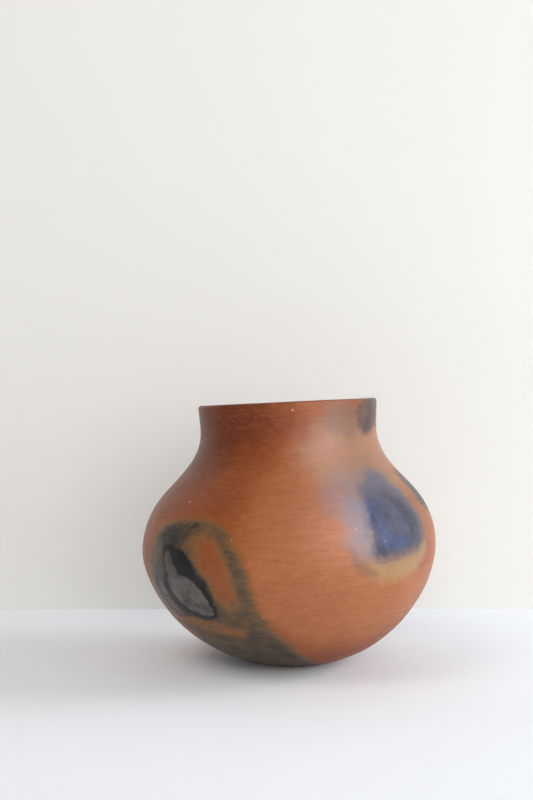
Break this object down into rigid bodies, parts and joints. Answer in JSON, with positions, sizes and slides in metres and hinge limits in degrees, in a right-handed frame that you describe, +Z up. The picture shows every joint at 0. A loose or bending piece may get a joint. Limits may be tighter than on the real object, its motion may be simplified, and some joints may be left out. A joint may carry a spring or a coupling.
{
  "type": "olla",
  "caption": "Round-bellied burnished clay jar with a short neck and an open mouth, coil-built on a pressed base bowl, standing on a small flat.",
  "frame": {"origin": "centre of the flat that the round bottom stands on", "axes": "+Z up, +X to the right as the picture shows the jar, which leans 1.6 degrees towards -X; -Y faces the camera"},
  "size_m": [0.271, 0.271, 0.2417],
  "materials": {
    "burnished_clay": "stone-burnished red earthenware with dark and grey fire clouds, unglazed, satin"
  },
  "bodies": {
    "root": {"base_bowl": "burnished_clay", "belly_coil_low": "burnished_clay", "belly_coil_mid": "burnished_clay", "belly_coil_top": "burnished_clay", "shoulder_coil_low": "burnished_clay", "shoulder_coil_mid": "burnished_clay", "shoulder_coil_top": "burnished_clay", "neck_coil_low": "burnished_clay", "neck_coil_top": "burnished_clay", "lip_coil": "burnished_clay"}
  },
  "joints": []
}
